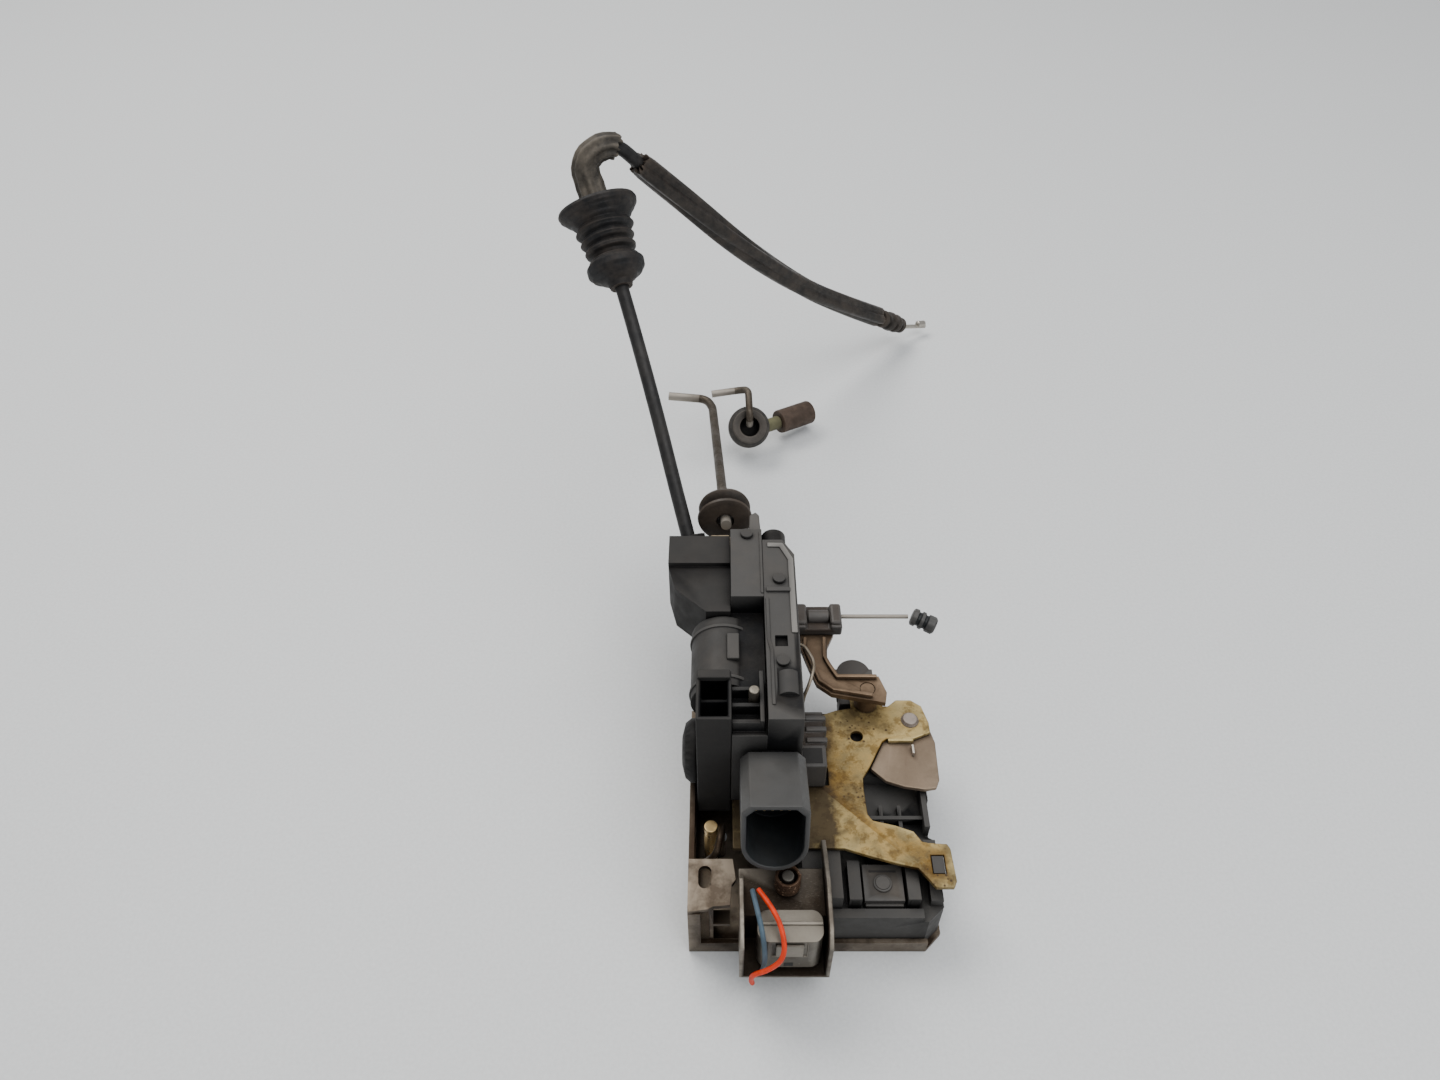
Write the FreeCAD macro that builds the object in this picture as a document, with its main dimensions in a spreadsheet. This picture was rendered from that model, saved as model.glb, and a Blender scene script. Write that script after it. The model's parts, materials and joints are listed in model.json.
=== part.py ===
import FreeCAD, Part
import math
import os

import Sketcher

# Side-door latch unit: a rotary latch in a folded steel case that lies on its face plate,
# a plastic locking module standing on edge on the back plate, a Bowden cable, a lock rod,
# and a small motor in a U-shaped bracket in front of the case.
# Row frame: +Z out of the face plate, +Y along the module, +X towards the striker mouth.
# The origin is the centre of the three door fixings, on the outer side of the face plate.

os.makedirs("parts", exist_ok=True)
doc = FreeCAD.newDocument("side_door_latch")
sheet = doc.addObject("Spreadsheet::Sheet", "dims")
V = FreeCAD.Vector
values = {}
nodes = []


def size(alias, value):
    """Store one driving size in the sheet and return the alias."""
    row = len(values) + 1
    sheet.set("A%d" % row, alias)
    sheet.set("B%d" % row, str(value))
    sheet.setAlias("B%d" % row, alias)
    values[alias] = value
    return alias


def bind(obj, prop, alias):
    obj.setExpression(prop, "dims." + alias)


def aimed(base, axis):
    """Placement at base whose local Z runs along axis."""
    return FreeCAD.Placement(V(*base), FreeCAD.Rotation(V(0, 0, 1), V(*axis)))


def box(name, low, high):
    """A block between two corners, its three sizes kept in the sheet."""
    obj = doc.addObject("Part::Box", name)
    for prop, lo, hi in zip(("Length", "Width", "Height"), low, high):
        bind(obj, prop, size(name + "_" + prop.lower(), round(hi - lo, 4)))
    obj.Placement.Base = V(*low)
    return obj


def rod(name, base, axis, radius, length):
    """A round bar from base along axis."""
    obj = doc.addObject("Part::Cylinder", name)
    bind(obj, "Radius", size(name + "_radius", radius))
    bind(obj, "Height", size(name + "_length", length))
    obj.Placement = aimed(base, axis)
    return obj


def cone(name, base, axis, r_base, r_top, length):
    obj = doc.addObject("Part::Cone", name)
    bind(obj, "Radius1", size(name + "_base_radius", r_base))
    bind(obj, "Radius2", size(name + "_top_radius", r_top))
    bind(obj, "Height", size(name + "_length", length))
    obj.Placement = aimed(base, axis)
    return obj


def fuse(name, shapes):
    obj = doc.addObject("Part::MultiFuse", name)
    obj.Shapes = shapes
    obj.Refine = True
    return obj


def cut(name, base, tools):
    obj = doc.addObject("Part::Cut", name)
    obj.Base = base
    obj.Tool = tools[0] if len(tools) == 1 else fuse(name + "_tools", tools)
    obj.Refine = True
    return obj


def common(name, base, tool):
    obj = doc.addObject("Part::Common", name)
    obj.Base = base
    obj.Tool = tool
    return obj


def origin_plane(body, role):
    for feature in body.Origin.OriginFeatures:
        if feature.Role == role:
            return feature
    raise ValueError(role)


def plate(name, outline, z_low, thickness, holes=(), role="XY_Plane", placement=None):
    """A flat profile with round holes, padded to its thickness."""
    body = doc.addObject("PartDesign::Body", name)
    sketch = body.newObject("Sketcher::SketchObject", name + "_outline")
    sketch.AttachmentSupport = [(origin_plane(body, role), "")]
    sketch.MapMode = "FlatFace"
    count = len(outline)
    for index, (x, y) in enumerate(outline):
        x_next, y_next = outline[(index + 1) % count]
        sketch.addGeometry(Part.LineSegment(V(x, y, 0), V(x_next, y_next, 0)), False)
    for index in range(count):
        sketch.addConstraint(
            Sketcher.Constraint("Coincident", index, 2, (index + 1) % count, 1))
    for x, y, radius in holes:
        circle = Part.Circle(V(x, y, 0), V(0, 0, 1), radius)
        sketch.addGeometry(circle, False)
    pad = body.newObject("PartDesign::Pad", name + "_pad")
    pad.Profile = sketch
    bind(pad, "Length", size(name + "_thickness", thickness))
    body.Placement = placement or FreeCAD.Placement(V(0, 0, z_low), FreeCAD.Rotation())
    return body


def revolved(name, profile, base, axis):
    """A turned piece: the profile holds (radius, height) points round the local Z axis."""
    body = doc.addObject("PartDesign::Body", name)
    sketch = body.newObject("Sketcher::SketchObject", name + "_profile")
    sketch.AttachmentSupport = [(origin_plane(body, "XZ_Plane"), "")]
    sketch.MapMode = "FlatFace"
    count = len(profile)
    for index, (x, y) in enumerate(profile):
        x_next, y_next = profile[(index + 1) % count]
        sketch.addGeometry(Part.LineSegment(V(x, y, 0), V(x_next, y_next, 0)), False)
    for index in range(count):
        sketch.addConstraint(
            Sketcher.Constraint("Coincident", index, 2, (index + 1) % count, 1))
    turned = body.newObject("PartDesign::Revolution", name + "_turned")
    turned.Profile = sketch
    turned.ReferenceAxis = (sketch, ["V_Axis"])
    bind(turned, "Angle", size(name + "_angle", 360))
    body.Placement = aimed(base, axis)
    return body


def rounded_path(points):
    """Straight runs joined by tangent arcs; returns the edges and the arc radii."""
    points = [V(*p) for p in points]
    edges = []
    radii = []
    start = points[0]
    for before, corner, after in zip(points, points[1:], points[2:]):
        back = before - corner
        ahead = after - corner
        reach = 0.45 * min(back.Length, ahead.Length)
        back.normalize()
        ahead.normalize()
        turn = math.pi - back.getAngle(ahead)
        radius = reach / math.tan(turn / 2)
        bisector = back + ahead
        bisector.normalize()
        rise = radius / math.cos(turn / 2) - radius
        enter = corner + back * reach
        leave = corner + ahead * reach
        edges.append(Part.LineSegment(start, enter).toShape())
        edges.append(Part.Arc(enter, corner + bisector * rise, leave).toShape())
        radii.append(radius)
        start = leave
    edges.append(Part.LineSegment(start, points[-1]).toShape())
    return edges, radii


def swept(edges, radius):
    path = Part.Wire(edges)
    start = path.Vertexes[0].Point
    tangent = edges[0].tangentAt(edges[0].FirstParameter)
    ring = Part.Wire([Part.Circle(start, tangent, radius).toShape()])
    return path.makePipeShell([ring], True, True)


def wire_piece(name, points, radius):
    """A bent wire of round section through the points."""
    alias = size(name + "_radius", radius)
    doc.recompute()
    obj = doc.addObject("Part::Feature", name)
    obj.Shape = swept(rounded_path(points)[0], getattr(sheet, alias))
    return obj


def sleeve_on(name, edges, outer, inner):
    """A tube that follows part of the cable's line."""
    outer_alias = size(name + "_outer_radius", outer)
    inner_alias = size(name + "_inner_radius", inner)
    doc.recompute()
    obj = doc.addObject("Part::Feature", name)
    outside = swept(edges, getattr(sheet, outer_alias))
    obj.Shape = outside.cut(swept(edges, getattr(sheet, inner_alias)))
    return obj


def coil(name, base, axis, radius, pitch, height, wire):
    """A helical spring of round wire."""
    aliases = [size(name + "_" + word, number) for word, number in (
        ("coil_radius", radius), ("pitch", pitch), ("height", height), ("wire_radius", wire))]
    doc.recompute()
    radius, pitch, height, wire = [getattr(sheet, alias) for alias in aliases]
    helix = Part.makeHelix(pitch, height, radius)
    ring = Part.Wire([Part.Circle(V(radius, 0, 0), V(0, 1, 0), wire).toShape()])
    obj = doc.addObject("Part::Feature", name)
    obj.Shape = Part.Wire(helix.Edges).makePipeShell([ring], True, True)
    obj.Placement = aimed(base, axis)
    return obj


def node(obj, label):
    obj.Label = label
    nodes.append(obj)
    return obj


def around(centre, radius, degrees):
    angle = math.radians(degrees)
    return centre[0] + radius * math.cos(angle), centre[1] + radius * math.sin(angle)


# ---------------------------------------------------------------- latch case
CLAW = (17.0, -16.0)
PAWL = (6.0, 28.0)
SECTOR = (37.0, 34.0)
OUTER = (20.0, 42.0)
FIXINGS = [(-40.0, 0.0), (20.0, 34.64), (20.0, -34.64)]
SLOT_MID = 3.0
SLOT_HALF = 7.0

face_outline = [(-50, -46), (37, -46), (43, -40), (43, 36), (36, 44), (-46, 44), (-50, 40)]
face_holes = [(x, y, 4.2) for x, y in FIXINGS] + [CLAW + (4.0,), PAWL + (3.5,)]
floor = plate("face_floor", face_outline, 0, 2, face_holes)
left_wall = box("left_wall", (-50, -46, 2), (-48, 40, 30))
far_wall = box("far_wall", (-48, 42, 2), (36, 44, 12))
front_lip = box("front_lip", (-48, -46, 2), (37, -44.2, 7))
side_rib = box("side_rib", (-42.5, -44.2, 2), (-41, -34, 30))
ear_post = box("ear_post", (-48, -46, 7), (-45.5, -44.2, 30))
ledge = box("front_ledge", (-41, -44.2, 17), (-35, -39, 18.8))
ear_outline = [(-50, -46), (-43, -45), (-41, -44), (-35, -43.5), (-34.5, -36), (-33, -34),
               (-34, -26), (-50, -26)]
left_ear = plate("left_ear", ear_outline, 30, 2)
ear_slot = fuse("ear_slot", [
    rod("ear_slot_near", (-44, -35, 29), (0, 0, 1), 2.3, 4),
    rod("ear_slot_far", (-44, -31, 29), (0, 0, 1), 2.3, 4),
    box("ear_slot_middle", (-46.3, -35, 29), (-41.7, -31, 33)),
])
mouth_cut = fuse("mouth_cut", [
    box("mouth_run", (23, SLOT_MID - SLOT_HALF, -1), (45, SLOT_MID + SLOT_HALF, 3)),
    rod("mouth_end", (23, SLOT_MID, -1), (0, 0, 1), SLOT_HALF, 4),
])
wall_window = box("wall_window", (-51, -20, 12), (-47, -8, 24))
case = fuse("case_blank", [floor, left_wall, far_wall, front_lip, side_rib, ear_post, ledge, left_ear])
node(cut("face_plate_cut", case, [ear_slot, mouth_cut, wall_window]), "face_plate")

# plastic latch housing with its rails, buffer seat and ribbed window
housing_outline = [(-9, -44), (36, -44), (42, -38.5), (42, -12), (40, -11), (40, 1), (42, 5),
                   (42, 26), (36, 41.8), (-9, 41.8)]
housing_block = plate("housing_block", housing_outline, 2, 18)
rails = [
    box("rail_left", (7.5, -39, 20), (12, -24, 27)),
    box("rail_right", (28.4, -39, 20), (33, -24, 27)),
    box("front_step", (-4, -44, 20), (34, -40.5, 23)),
    box("side_step", (37, -38, 20), (41.5, -14, 24)),
    box("right_column", (38, -10, 20), (40, 8, 26.5)),
    box("window_rib_long", (17, -5.5, 20), (38, -4, 24)),
    box("window_rib_a", (22, -11, 20), (23.4, 1, 23)),
    box("window_rib_b", (29, -11, 20), (30.4, 1, 23)),
    box("upper_block", (-9, 12, 20), (34, 30, 25.5)),
    box("rear_block", (-9, 30, 20), (31, 41.8, 25.5)),
    box("under_arm", (16, -22, 20), (24, -12, 30.1)),
    box("left_bank", (-9, -40, 20), (5, 12, 30.1)),
    box("ear_hook", (37.7, -31.3, 20), (41.9, -24.7, 31.6)),
]
housing_solid = fuse("housing_solid", [housing_block] + rails)
claw_room = common("claw_room",
                   rod("claw_sweep", CLAW + (4,), (0, 0, 1), 22.8, 12),
                   box("claw_sweep_limit", (-9, -31, 4), (40.6, 12, 16)))
pawl_room = box("pawl_room", (-7, 2, 4), (14.5, 37.5, 16))
mouth_room = fuse("mouth_room", [
    box("mouth_room_run", (23, SLOT_MID - SLOT_HALF, 1), (44, SLOT_MID + SLOT_HALF, 16)),
    rod("mouth_room_end", (23, SLOT_MID, 1), (0, 0, 1), SLOT_HALF, 15),
])
fixing_room = [rod("fixing_room_%d" % i, p + (1,), (0, 0, 1), 5.2, 15) for i, p in enumerate(FIXINGS[1:])]
pin_room = [
    rod("claw_pin_room", CLAW + (1,), (0, 0, 1), 4.1, 30),
    rod("pawl_pin_room", PAWL + (1,), (0, 0, 1), 3.6, 30),
]
node(cut("housing_cut", housing_solid, [claw_room, pawl_room, mouth_room] + fixing_room + pin_room),
     "latch_housing")
buffer_block = box("buffer_block", (13, -38.5, 20), (27.5, -24.5, 25))
buffer_button = rod("buffer_button", (20, -32, 25), (0, 0, 1), 2.6, 1)
node(fuse("buffer", [buffer_block, buffer_button]), "striker_buffer")

# back plate over the housing, one stamped sheet with two ears
back_outline = [
    (-34, 36), (0.5, 36), (8, 39), (14, 40), (14, 46.5), (26, 46.5), (27, 41), (29, 41), (32.5, 44),
    (38.5, 44), (42.5, 41), (44.5, 33), (44.5, 28.5), (37.5, 25.5), (31.5, 25), (27, 25.5),
    (25, 24), (19, 12.5), (16, 7.5), (15.8, 2.5), (16.3, -8), (18, -10.5), (26, -12.5), (32.5, -15),
    (35, -19), (37, -19.5), (44, -20), (45, -22), (45.5, -34.5), (44.3, -37), (37.8, -37),
    (34.8, -32.7), (32.3, -29.5), (26, -28), (16, -25), (6.5, -21.8), (-34, -21.8),
]
back_holes = [SECTOR + (3.0,), (15.2, 26.6, 2.4)]
back_sheet = plate("back_sheet", back_outline, 30.1, 1.9, back_holes)
back_windows = [
    box("ear_window", (37.4, -31.6, 29), (42.2, -24.4, 33)),
    box("side_window", (-1.0, 4.5, 29), (2.6, 12, 33)),
]
node(cut("back_plate_cut", back_sheet, back_windows), "back_plate")

# ---------------------------------------------------------------- latch mechanism
claw_points = [around(CLAW, 22, a) for a in (-6, 2, 10, 17, 22)]
claw_points += [around(CLAW, 15.5, 24), around(CLAW, 13.2, 32), around(CLAW, 13.2, 48),
                around(CLAW, 15.5, 56)]
claw_points += [around(CLAW, 22, a) for a in (58, 66, 75, 84, 92)]
claw_points += [around(CLAW, 12.5, a) for a in range(100, 346, 20)]
node(plate("claw_body", claw_points, 4.6, 6.4, [CLAW + (4.05,)]), "claw")
trim_points = [around(CLAW, 20, a) for a in (-4, 8, 20)]
trim_points += [around(CLAW, 11.5, 28), around(CLAW, 11.5, 52)]
trim_points += [around(CLAW, 20, a) for a in (60, 75, 90)]
trim_points += [around(CLAW, 11, a) for a in range(100, 346, 20)]
node(plate("claw_cover_body", trim_points, 11, 1.2, [CLAW + (7.5,)]), "claw_overmould")
pawl_points = [(-0.5, 28), (1, 10), (4, 5.2), (8, 5.4), (11, 9), (12.5, 28), (11, 33), (6, 35),
               (1, 33)]
node(plate("pawl_body", pawl_points, 4.6, 6.4, [PAWL + (3.55,)]), "pawl")
node(rod("claw_pin_bar", CLAW + (0,), (0, 0, 1), 4.0, 30), "claw_pin")
node(rod("pawl_pin_bar", PAWL + (0,), (0, 0, 1), 3.5, 30), "pawl_pin")
node(coil("claw_coil", CLAW + (12.0,), (0, 0, 1), 5.6, 1.4, 2.8, 0.45), "claw_spring")
node(coil("pawl_coil", PAWL + (12.0,), (0, 0, 1), 5.0, 1.6, 2.4, 0.5), "pawl_spring")

sector_outline = [(19.5, 13), (25, 7.5), (32, 5), (39.5, 3.8), (44, 4.6), (45.5, 8), (46.2, 25),
                  (44, 35), (41, 40), (36, 41), (31, 38), (29, 32)]
node(plate("sector_body", sector_outline, 28, 2, [SECTOR + (3.05,)]), "release_sector")
rivet = fuse("rivet", [
    rod("rivet_foot", SECTOR + (26.2,), (0, 0, 1), 4.8, 1.7),
    rod("rivet_shank", SECTOR + (27.9,), (0, 0, 1), 3.0, 4.1),
    cone("rivet_head", SECTOR + (32,), (0, 0, 1), 3.7, 2.6, 1.6),
])
node(rivet, "sector_rivet")

# outer handle lever, bent up towards its cable clip
lever_outline = [(-5.5, 62), (-5.5, 81), (9, 81), (8.5, 70), (5.4, 63), (5, 57.4), (6.5, 54),
                 (9, 48), (25, 48), (27.5, 40), (26.5, 35), (22.5, 36), (5.6, 39.3), (0, 44),
                 (-3, 53)]
node(plate("lever_body", lever_outline, 40, 2.4, [OUTER + (3.05,)]), "outer_handle_lever")
lever_pin = fuse("lever_pin", [
    rod("lever_pin_spacer", OUTER + (32,), (0, 0, 1), 4.6, 7.9),
    rod("lever_pin_shank", OUTER + (39.9,), (0, 0, 1), 3.0, 2.4),
])
node(lever_pin, "outer_lever_pin")
clip_block = box("clip_block", (-8, 69, 42.4), (11.8, 82, 48))
clip_groove = box("clip_groove", (-3, 68, 46.2), (7, 83, 49))
node(cut("clip_cut", clip_block, [clip_groove]), "lever_clip")
node(rod("pull_wire_bar", (11.85, 77, 45.2), (1, 0, 0), 0.9, 28), "pull_wire")
node(rod("ferrule_bar", (41.4, 77, 45.6), (10.5, -4.2, -2.6), 3.7, 10.6), "pull_wire_ferrule")
hook_points = [(-9.4, 58, 51), (-5, 57, 51), (-1, 49, 50), (-3, 41, 49), (-6, 37, 42), (-6, 36, 32)]
node(wire_piece("lever_return_wire", hook_points, 0.7), "lever_return_spring")
post_block = box("grey_tongue_block", (9.5, 48.5, 24), (25, 62, 29))
tongue_round = rod("grey_tongue_round", (17, 60, 24), (0, 0, 1), 7, 5)
tongue_root = box("grey_tongue_root", (10, 44, 20), (24, 50, 29))
node(fuse("tongue", [post_block, tongue_round, tongue_root]), "housing_tongue")

# ---------------------------------------------------------------- locking module
# the connector is tilted up from the module
CONNECTOR = FreeCAD.Placement(V(-20, -34, 59.5), FreeCAD.Rotation(V(1, 0, 0), -15))


def connector_outline(half, top, bottom):
    arc = [(half * math.cos(math.radians(a)), bottom + half * math.sin(math.radians(a)))
           for a in range(180, 361, 15)]
    return arc + [(half, top - 3), (half - 3, top), (3 - half, top), (-half, top - 3)]


def connector_piece(name, outline, depth, offset):
    """Profile padded along the connector's own axis, behind its mouth."""
    stand = FreeCAD.Placement(V(0, offset, 0), FreeCAD.Rotation(V(1, 0, 0), 90))
    stand.Base = V(0, offset + depth, 0)
    return plate(name, outline, 0, depth, placement=CONNECTOR.multiply(stand))


cover_outline = [(-22, -2), (-9.5, -2), (-9.5, 76), (-14, 84), (-22, 84)]
cover_slab = plate("cover_slab", cover_outline, 32, 52)
cover_room = box("cover_room", (-22.1, 2, 35), (-12, 72, 81))
neck = common("neck", connector_piece("neck_core", connector_outline(6.5, 13.5, -6), 14, 27),
              box("neck_limit", (-30, -30, 30), (-10, -2, 90)))
cover_boss = rod("cover_boss", (-14.5, 8, 82), (0, 1, 0), 4.2, 10)
cover_rim = box("cover_rim", (-21, 56, 84), (-12, 58, 85))
window_pocket = box("window_pocket", (-18.5, 30, 82), (-14, 35, 86))
far_lug = rod("far_lug", (-17, 84, 76), (0, 1, 0), 4.9, 9)
node(cut("cover_cut", fuse("cover_solid", [cover_slab, neck, cover_boss, cover_rim, far_lug]),
         [cover_room, window_pocket]), "module_cover_shell")

shell_high = box("shell_high", (-34.5, 54, 32), (-22, 90, 84))
shell_low = box("shell_low", (-34.5, -2, 32), (-22, 54, 74))
bulge = rod("motor_bulge", (-37.5, 19, 64), (0, 1, 0), 12, 32)
bulge_foot = box("bulge_foot", (-46.5, 24, 32), (-34.5, 51, 58))
shell_ribs = [box("shell_rib_%d" % i, (-34.5, y, 74), (-24, y + 1.6, 79)) for i, y in enumerate((0, 7, 14))]
shell_side_rib = box("shell_side_rib", (-24.6, 0, 74), (-23, 22, 80))
shell_room = box("shell_room", (-32, 2, 35), (-21.9, 84, 71.5))
motor_room = rod("motor_room", (-37.5, 21, 64), (0, 1, 0), 10.2, 28)
node(cut("shell_cut",
         fuse("shell_solid", [shell_high, shell_low, bulge, bulge_foot, shell_side_rib] + shell_ribs),
         [shell_room, motor_room]), "module_main_shell")

cover_box = box("motor_box", (-47, -2, 24), (-34.6, 18.8, 84))
box_pocket = box("motor_box_pocket", (-45.4, -0.4, 50), (-36, 17.4, 85))
box_rib = box("motor_box_rib", (-45.4, 8, 50), (-36, 9.4, 80))
node(fuse("motor_box_ribbed", [cut("motor_box_cut", cover_box, [box_pocket]), box_rib]),
     "motor_cover_box")
node(rod("lock_motor_can", (-37.5, 22, 64), (0, 1, 0), 9.8, 25), "lock_motor")
node(rod("gear_pin_bar", (-32, 40, 52), (1, 0, 0), 2.0, 20), "gear_pin")
gear_points = []
for tooth in range(24):
    gear_points.append(around((0, 0), 12.4, tooth * 15))
    gear_points.append(around((0, 0), 14.2, tooth * 15 + 5))
    gear_points.append(around((0, 0), 14.2, tooth * 15 + 8))
    gear_points.append(around((0, 0), 12.4, tooth * 15 + 13))
gear_place = FreeCAD.Placement(V(-27.4, 40, 52), FreeCAD.Rotation(V(0, 0, 1), V(1, 0, 0)))
node(plate("lock_gear_body", gear_points, 0, 6, [(0, 0, 2.05)], placement=gear_place), "lock_gear")
node(rod("shell_pin_bar", (-26.6, 11.4, 74.1), (0, 0, 1), 1.9, 9), "shell_pin")
screw_places = [(-16, 22.8), (-16, 62.5), (-28, 86.5)]
screws = [rod("screw_%d" % i, (x, y, 84), (0, 0, 1), 2.4, 1.5) for i, (x, y) in enumerate(screw_places)]
node(fuse("screw_set", screws), "module_screws")

# cable socket arm at the left of the module
socket_block = box("socket_block", (-59, 75, 58), (-34.6, 90, 80))
hopper_face = [(0, 0), (24.4, 0), (24.4, 23.4), (15, 23.4), (3, 12)]
hopper_place = FreeCAD.Placement(V(-59, 75, 60), FreeCAD.Rotation(V(1, 0, 0), 180))
hopper_place.Base = V(-59, 75, 78)
hopper = plate("socket_hopper", hopper_face, 0, 22, placement=hopper_place)
cable_line = (-6, 17, 15)
collar = rod("socket_collar", (-47.5, 90, 55.5), cable_line, 6.0, 17.5)
collar_lip = rod("socket_collar_lip", (-50.9, 99.6, 64), cable_line, 7.0, 4)
socket_brace = box("socket_brace", (-56, 84, 56), (-40, 92, 72))
cable_bore = rod("cable_bore", (-47.5, 90, 55.5), cable_line, 3.4, 40)
node(cut("socket_cut", fuse("socket_solid", [socket_block, hopper, collar, collar_lip, socket_brace]),
         [cable_bore]), "cable_socket")
node(box("felt_block", (-43.2, 92.2, 64.5), (-33.6, 99.6, 71.8)), "felt_pad")
peg_points = [(-27, 90), (-22.2, 90), (-22.6, 100), (-24, 102), (-26.6, 100)]
node(plate("peg_body", peg_points, 72, 10), "module_peg")

# ribbed coupling between module and latch levers
coupling_block = box("coupling_block", (-9.4, 12.5, 33), (1, 29, 45))
coupling_box = box("coupling_box", (-9.4, 3, 33), (1, 12.5, 47))
fins = [box("coupling_fin_%d" % i, (-6, y, 41), (2, y + 2.2, 46)) for i, y in enumerate((14.5, 19.5, 24.5))]
node(fuse("coupling_solid", [coupling_block, coupling_box] + fins), "lever_coupling")

# connector shell with its terminals
shell_outer = connector_piece("connector_outer", connector_outline(11.6, 15.5, -3), 27, 0)
shell_inner = connector_piece("connector_inner", connector_outline(9.8, 13.6, -3), 25, -1)
node(cut("connector_cut", shell_outer, [shell_inner]), "connector_shell")
terminals = []
for row in range(2):
    for column in range(5):
        pin = doc.addObject("Part::Box", "terminal_%d_%d" % (row, column))
        if not terminals:
            size("terminal_width", 0.9)
            size("terminal_reach", 6.5)
        bind(pin, "Length", "terminal_width")
        bind(pin, "Height", "terminal_width")
        bind(pin, "Width", "terminal_reach")
        local = FreeCAD.Placement(V(-6.5 + 3 * column, 17, -3 + 6 * row), FreeCAD.Rotation())
        pin.Placement = CONNECTOR.multiply(local)
        terminals.append(pin)
node(fuse("terminal_set", terminals), "connector_terminals")

# left side: key-cylinder coupling, inner handle lever and small steel pieces
dome_profile = [(0, 0), (12, 0), (12, 2.2), (10.2, 4.4), (5.5, 5.6), (0, 5.6)]
node(revolved("dome_body", dome_profile, (-47.1, 12, 44), (-1, 0, 0)), "key_cylinder_coupler")
inner_lever_outline = [(0, -4), (4, -3), (4, 3), (0, 4), (-26, 4), (-30, 0), (-26, -4)]
inner_place = FreeCAD.Placement(V(-43, 34, 18), FreeCAD.Rotation(V(0, 0, 1), 90))
node(plate("inner_lever_body", inner_lever_outline, 0, 2, [(0, 0, 2.05)], placement=inner_place),
     "inner_handle_lever")
node(rod("inner_pin_bar", (-43, 34, 2), (0, 0, 1), 2.0, 19), "inner_lever_pin")
node(rod("brass_contact_bar", (-42, -10, 2), (0, 0, 1), 2.6, 25), "brass_stud")
j_hook = [(-38, -8, 3), (-38, -8, 24), (-38, -14, 30), (-40, -22, 27), (-44, -22, 22)]
node(wire_piece("steel_hook_wire", j_hook, 1.3), "steel_hook")

# ---------------------------------------------------------------- motor bracket in front
left_cheek = [(-46.2, 14), (-61.5, 14), (-61.5, 37), (-56, 41), (-38, 41), (-36, 39), (-36, 32.8),
              (-46.2, 32.8)]
right_cheek = [(-46.2, 14), (-61.5, 14), (-61.5, 37), (-56, 41.5), (-40, 42), (-27, 38), (-20, 35),
               (-20, 32.1), (-46.2, 32.1)]
cheek_turn = FreeCAD.Rotation(FreeCAD.Matrix(0, 0, 1, 0, 1, 0, 0, 0, 0, 1, 0, 0))
bracket_left = plate("bracket_left", left_cheek, 0, 1.6,
                     placement=FreeCAD.Placement(V(-32, 0, 0), cheek_turn))
bracket_right = plate("bracket_right", right_cheek, 0, 1.6,
                      placement=FreeCAD.Placement(V(-2, 0, 0), cheek_turn))
bracket_back = box("bracket_back", (-32, -47.8, 14), (-0.4, -46.2, 32.8))
bracket_base = box("bracket_base", (-32, -61.5, 14), (-0.4, -46.2, 15.6))
bracket_foot = box("bracket_foot", (-32, -46.4, 31), (-0.4, -30, 32.8))
node(fuse("bracket_solid", [bracket_left, bracket_right, bracket_back, bracket_base, bracket_foot]),
     "motor_bracket")
can = box("deadlock_can", (-26, -59.5, 18), (-3.5, -48, 38))
can_soft = doc.addObject("Part::Fillet", "deadlock_can_soft")
can_soft.Base = can
doc.recompute()
upright = [i + 1 for i, edge in enumerate(can.Shape.Edges)
           if abs(edge.tangentAt(edge.FirstParameter).z) > 0.9]
can_soft.Edges = [(i, 4.0, 4.0) for i in upright]
can_window = box("can_window", (-21, -60.5, 26.5), (-9, -59.0, 37))
node(cut("can_cut", can_soft, [can_window]), "deadlock_motor")
node(box("motor_cap_block", (-22, -57, 15.6), (-8, -50, 18)), "motor_end_cap")
node(rod("pivot_bar", (-15, -37.2, 32.8), (0, 0, 1), 2.2, 8.5), "pivot_post")
node(coil("post_coil", (-15, -37.2, 33.7), (0, 0, 1), 4.0, 1.6, 8.0, 0.6), "post_coil_spring")
red_points = [(-25.5, -43, 42.5), (-21, -50, 44), (-17.5, -58, 42.5), (-17, -64, 36), (-22, -65.3, 29.5),
              (-29, -65, 24), (-27.5, -64.5, 17)]
blue_points = [(-27.5, -43, 42), (-26.3, -50, 44), (-24.5, -57.5, 42), (-23.5, -62, 35), (-23.5, -62.8, 27),
               (-24.5, -62.2, 20)]
node(wire_piece("red_lead", red_points, 0.9), "red_wire")
node(wire_piece("blue_lead", blue_points, 0.9), "blue_wire")

# ---------------------------------------------------------------- Bowden cable
cable_points = [
    (-50, 97, 62), (-56, 114, 77), (-66, 146, 101), (-79, 186, 126), (-94, 225, 157),
    (-99, 229, 171), (-85.5, 233, 178.5), (-73, 239, 163), (-54, 251, 139), (-28, 268, 106),
    (5, 292, 68), (34, 313, 42), (62, 332, 19),
]
cable_edges, cable_radii = rounded_path(cable_points)
size("sheath_radius", 3.0)
doc.recompute()
sheath = doc.addObject("Part::Feature", "sheath")
sheath.Shape = swept(cable_edges, sheet.sheath_radius)
node(sheath, "bowden_sheath")
bellows_profile = [
    (4.2, 0), (6.5, 0), (9, 3), (12.5, 6), (13, 10), (11.5, 13), (9.5, 15), (11.5, 17), (9.8, 19),
    (12.2, 21.5), (10.4, 24), (13, 26.5), (11.2, 29), (14.5, 33), (17.5, 36), (17.5, 39),
    (14, 40.5), (4.2, 40.5),
]
run = V(*cable_points[4]) - V(*cable_points[3])
run.normalize()
bellows_base = V(*cable_points[3]) + run * 5
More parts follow.
